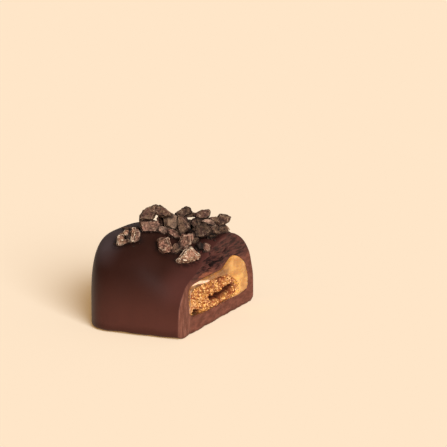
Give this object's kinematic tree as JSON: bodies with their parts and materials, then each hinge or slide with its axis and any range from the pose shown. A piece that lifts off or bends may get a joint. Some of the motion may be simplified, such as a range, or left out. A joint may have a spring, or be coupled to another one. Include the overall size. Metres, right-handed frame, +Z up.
{
  "type": "half of a filled chocolate",
  "caption": "Cut half of a dark filled chocolate with a biscuit and caramel core and cocoa nibs on top, lying on its flat base.",
  "frame": {"origin": "on the surface that the half stands on, under the middle of its bounding box", "axes": "+Z up, +Y along the cut from the long side that shows to the far one, +X out of the cut face"},
  "size_m": [0.0193, 0.0306, 0.0187],
  "materials": {
    "dark_chocolate": "dark chocolate with a satin sheen, paler and dull where it is cut",
    "cocoa_nib": "dry broken cocoa bean, rough, with paler broken edges",
    "caramel": "glossy golden soft caramel",
    "biscuit": "baked crumb, rough and open"
  },
  "bodies": {
    "root": {"chocolate_shell": "dark_chocolate", "caramel": "caramel", "biscuit": "biscuit"}
  },
  "joints": []
}
